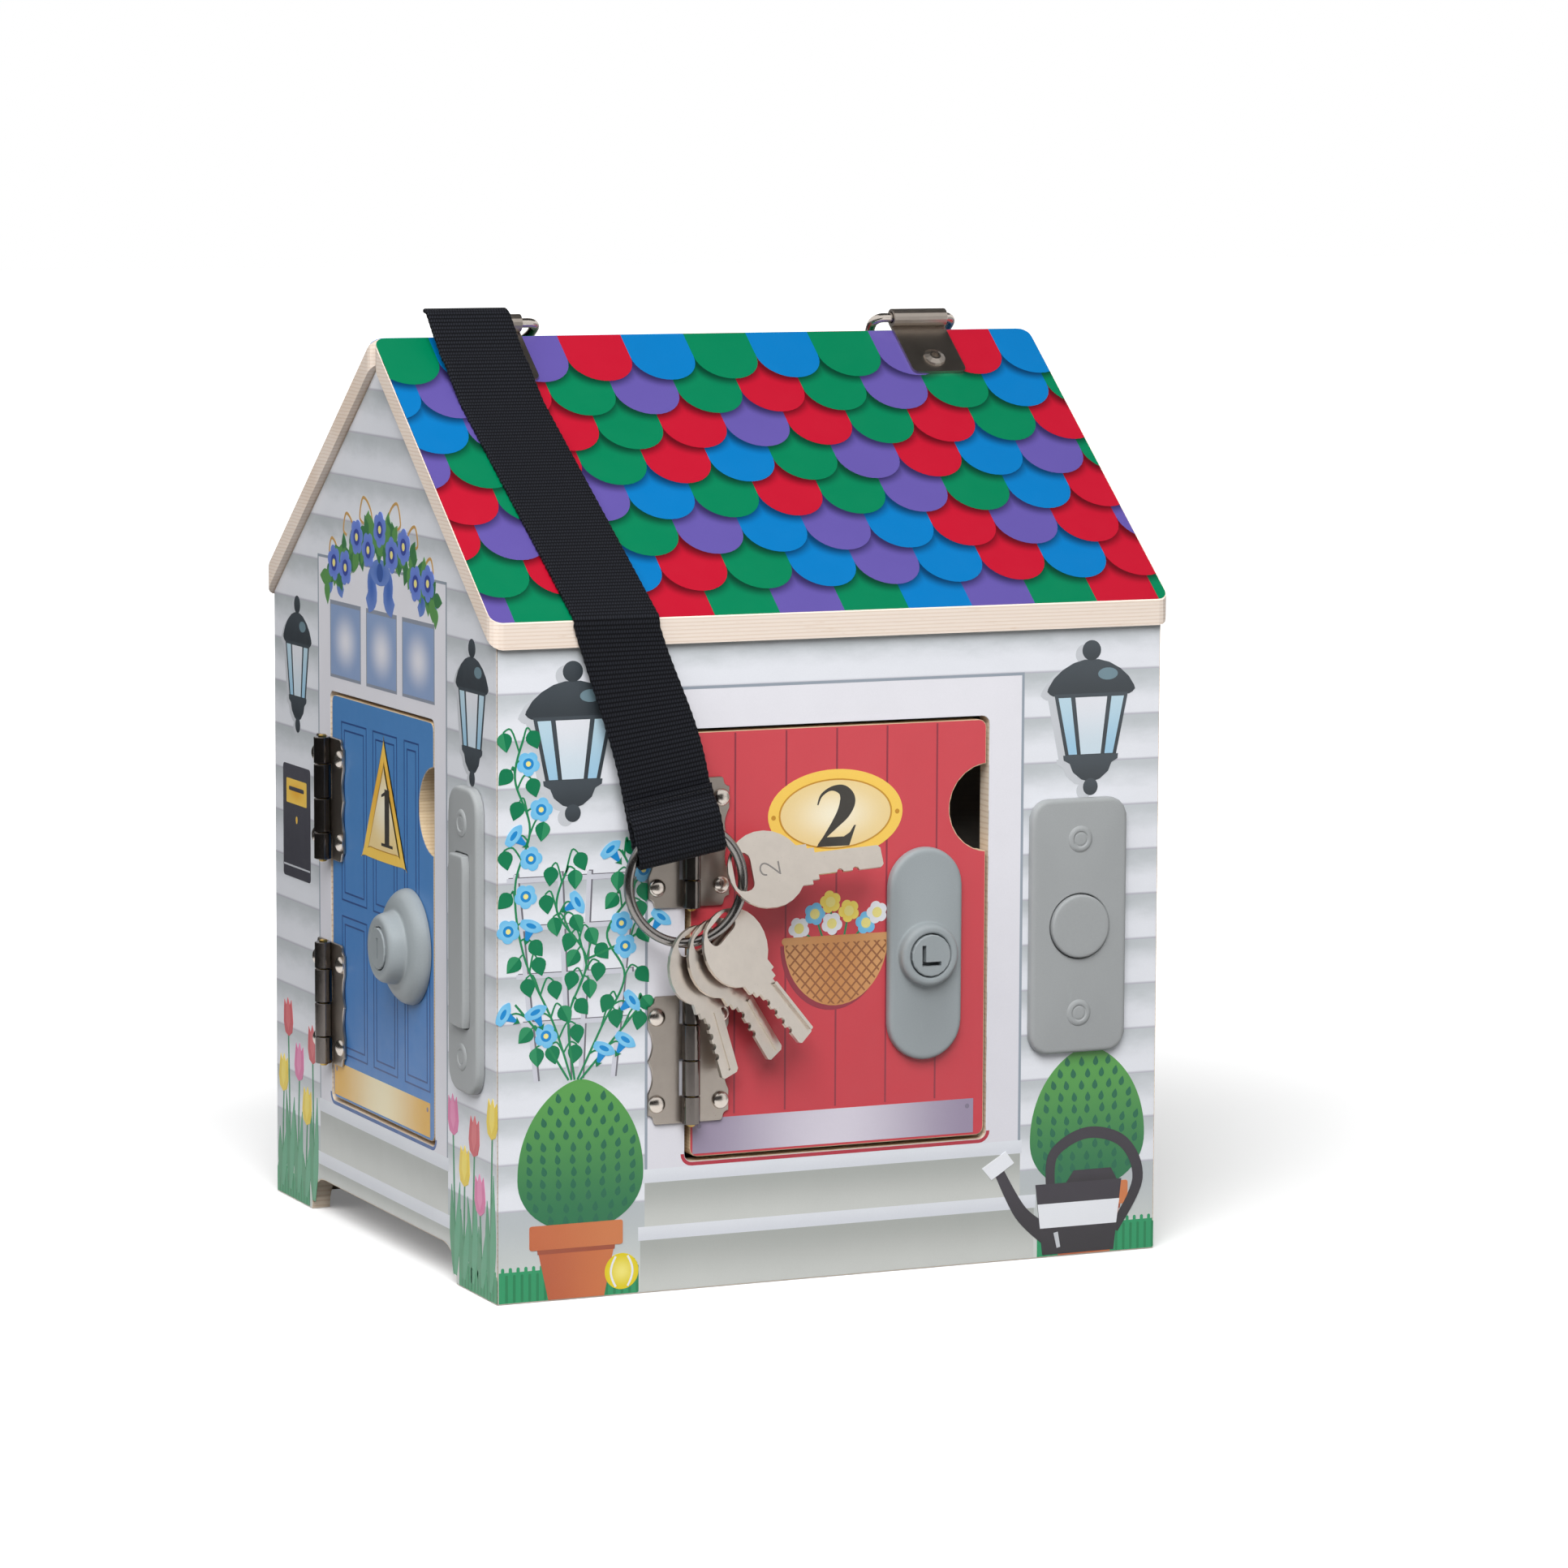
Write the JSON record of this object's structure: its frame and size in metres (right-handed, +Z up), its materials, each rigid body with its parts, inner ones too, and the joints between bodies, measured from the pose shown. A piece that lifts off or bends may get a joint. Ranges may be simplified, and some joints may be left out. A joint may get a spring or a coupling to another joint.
{
  "type": "toy doorbell house",
  "caption": "Wooden toy house with a numbered door on each side, each with its own bell, lock and key, and the keys on a strap.",
  "frame": {"origin": "middle of the front wall's foot: half-way along the wall, in the middle of its thickness, at the level that the house stands on", "axes": "+X to the right along the front wall, +Y back through the house, +Z up"},
  "size_m": [0.2511, 0.2373, 0.3077],
  "materials": {
    "wall_print": "printed paper on plywood",
    "roof_print": "printed paper on plywood",
    "plywood": "bare",
    "door_1_paint": "printed paper on plywood",
    "door_2_paint": "printed paper on plywood",
    "door_3_paint": "printed paper on plywood",
    "door_4_paint": "printed paper on plywood",
    "grey_plastic": "satin",
    "nickel": "nickel plated",
    "steel": "polished wire",
    "webbing": "woven"
  },
  "bodies": {
    "house": {"front_wall": "wall_print", "back_wall": "wall_print", "left_wall": "wall_print", "right_wall": "wall_print", "floor_panel": "plywood", "ceiling_panel": "plywood", "room_divider_a": "plywood", "room_divider_b": "plywood", "roof_front_panel": "roof_print", "roof_back_panel": "roof_print", "sound_box": "grey_plastic", "battery_cover": "grey_plastic", "battery_cover_screw": "nickel", "bell_plate_1": "grey_plastic", "bell_plate_2": "grey_plastic", "bell_plate_3": "grey_plastic", "bell_plate_4": "grey_plastic", "hinge_1_lower_wall_leaf": "nickel", "hinge_1_upper_wall_leaf": "nickel", "hinge_2_lower_wall_leaf": "nickel", "hinge_2_upper_wall_leaf": "nickel", "hinge_3_lower_wall_leaf": "nickel", "hinge_3_upper_wall_leaf": "nickel", "hinge_4_lower_wall_leaf": "nickel", "hinge_4_upper_wall_leaf": "nickel", "ridge_bracket_left": "nickel", "ridge_bracket_right": "nickel", "strap_roof": "webbing"},
    "door_1_body": {"door_1": "door_1_paint", "lock_plate_1": "grey_plastic", "hinge_1_lower_door_leaf": "nickel", "hinge_1_upper_door_leaf": "nickel"},
    "door_2_body": {"door_2": "door_2_paint", "lock_plate_2": "grey_plastic", "hinge_2_lower_door_leaf": "nickel", "hinge_2_upper_door_leaf": "nickel"},
    "door_3_body": {"door_3": "door_3_paint", "lock_plate_3": "grey_plastic", "hinge_3_lower_door_leaf": "nickel", "hinge_3_upper_door_leaf": "nickel"},
    "door_4_body": {"door_4": "door_4_paint", "lock_plate_4": "grey_plastic", "hinge_4_lower_door_leaf": "nickel", "hinge_4_upper_door_leaf": "nickel"},
    "lock_1_body": {"lock_cylinder_1": "grey_plastic"},
    "lock_2_body": {"lock_cylinder_2": "grey_plastic"},
    "lock_3_body": {"lock_cylinder_3": "grey_plastic"},
    "lock_4_body": {"lock_cylinder_4": "grey_plastic"},
    "bell_1_body": {"bell_button_1": "grey_plastic"},
    "bell_2_body": {"bell_button_2": "grey_plastic"},
    "bell_3_body": {"bell_button_3": "grey_plastic"},
    "bell_4_body": {"bell_button_4": "grey_plastic"},
    "d_ring_left_body": {"d_ring_left": "nickel"},
    "d_ring_right_body": {"d_ring_right": "nickel"},
    "strap_tail_body": {"strap_tail": "webbing"},
    "key_ring_body": {"key_ring": "steel"},
    "key_1_body": {"key_1": "nickel"},
    "key_2_body": {"key_2": "nickel"},
    "key_3_body": {"key_3": "nickel"},
    "key_4_body": {"key_4": "nickel"}
  },
  "joints": [
    {"name": "door_1_hinge", "type": "hinge", "parent": "house", "child": "door_1_body", "pos_m": [-0.1193, 0.14675, 0.1088], "axis": [0, 0, -1], "range_deg": [0, 150]},
    {"name": "door_2_hinge", "type": "hinge", "parent": "house", "child": "door_2_body", "pos_m": [-0.05145, -0.00645, 0.1088], "axis": [0, 0, -1], "range_deg": [0, 150]},
    {"name": "door_3_hinge", "type": "hinge", "parent": "house", "child": "door_3_body", "pos_m": [0.1193, 0.05345, 0.1088], "axis": [0, 0, -1], "range_deg": [0, 150]},
    {"name": "door_4_hinge", "type": "hinge", "parent": "house", "child": "door_4_body", "pos_m": [0.05145, 0.20665, 0.1088], "axis": [0, 0, -1], "range_deg": [0, 150]},
    {"name": "lock_1_turn", "type": "hinge", "parent": "door_1_body", "child": "lock_1_body", "pos_m": [-0.116, 0.0723, 0.1033], "axis": [-1, 0, 0], "range_deg": [0, 90]},
    {"name": "lock_2_turn", "type": "hinge", "parent": "door_2_body", "child": "lock_2_body", "pos_m": [0.0309, -0.00315, 0.1033], "axis": [0, -1, 0], "range_deg": [0, 90]},
    {"name": "lock_3_turn", "type": "hinge", "parent": "door_3_body", "child": "lock_3_body", "pos_m": [0.116, 0.1264, 0.1033], "axis": [1, 0, 0], "range_deg": [0, 90]},
    {"name": "lock_4_turn", "type": "hinge", "parent": "door_4_body", "child": "lock_4_body", "pos_m": [-0.0311, 0.20335, 0.1033], "axis": [0, 1, 0], "range_deg": [0, 90]},
    {"name": "bell_1_press", "type": "slide", "parent": "house", "child": "bell_1_body", "axis": [1, 0, 0], "range_m": [0, 0.0013], "stiffness_N_per_m": 400},
    {"name": "bell_2_press", "type": "slide", "parent": "house", "child": "bell_2_body", "axis": [0, 1, 0], "range_m": [0, 0.0013], "stiffness_N_per_m": 400},
    {"name": "bell_3_press", "type": "slide", "parent": "house", "child": "bell_3_body", "axis": [-1, 0, 0], "range_m": [0, 0.0013], "stiffness_N_per_m": 400},
    {"name": "bell_4_press", "type": "slide", "parent": "house", "child": "bell_4_body", "axis": [0, -1, 0], "range_m": [0, 0.0013], "stiffness_N_per_m": 400},
    {"name": "d_ring_left_lift", "type": "hinge", "parent": "house", "child": "d_ring_left_body", "pos_m": [-0.0756, 0.1001, 0.30252], "axis": [1, 0, 0], "range_deg": [0, 100], "deforming": ["strap_roof"]},
    {"name": "d_ring_right_lift", "type": "hinge", "parent": "house", "child": "d_ring_right_body", "pos_m": [0.0756, 0.1001, 0.30252], "axis": [1, 0, 0], "range_deg": [0, 250]},
    {"name": "strap_tail_swing", "type": "hinge", "parent": "house", "child": "strap_tail_body", "pos_m": [-0.077, -0.00705, 0.2127], "axis": [-1, 0, 0], "range_deg": [0, 173]},
    {"name": "key_ring_turn", "type": "hinge", "parent": "strap_tail_body", "child": "key_ring_body", "pos_m": [-0.0563, -0.01315, 0.1318], "axis": [-0.0872, -0.9962, 0], "range_deg": [-3, 8]},
    {"name": "key_1_slide", "type": "hinge", "parent": "key_ring_body", "child": "key_1_body", "pos_m": [-0.0563, -0.01315, 0.1318], "axis": [-0.0872, -0.9962, 0], "range_deg": [-5, 0]},
    {"name": "key_2_slide", "type": "hinge", "parent": "key_ring_body", "child": "key_2_body", "pos_m": [-0.0563, -0.01315, 0.1318], "axis": [-0.0872, -0.9962, 0], "range_deg": [-12, 5]},
    {"name": "key_3_slide", "type": "hinge", "parent": "key_ring_body", "child": "key_3_body", "pos_m": [-0.0563, -0.01315, 0.1318], "axis": [-0.0872, -0.9962, 0], "range_deg": [-3, 3]},
    {"name": "key_4_slide", "type": "hinge", "parent": "key_ring_body", "child": "key_4_body", "pos_m": [-0.0563, -0.01315, 0.1318], "axis": [-0.0872, -0.9962, 0], "range_deg": [0, 20]}
  ],
  "couplings": [
    {"joint": "strap_tail_swing", "follows": "door_2_hinge", "ratio": 1.15}
  ]
}
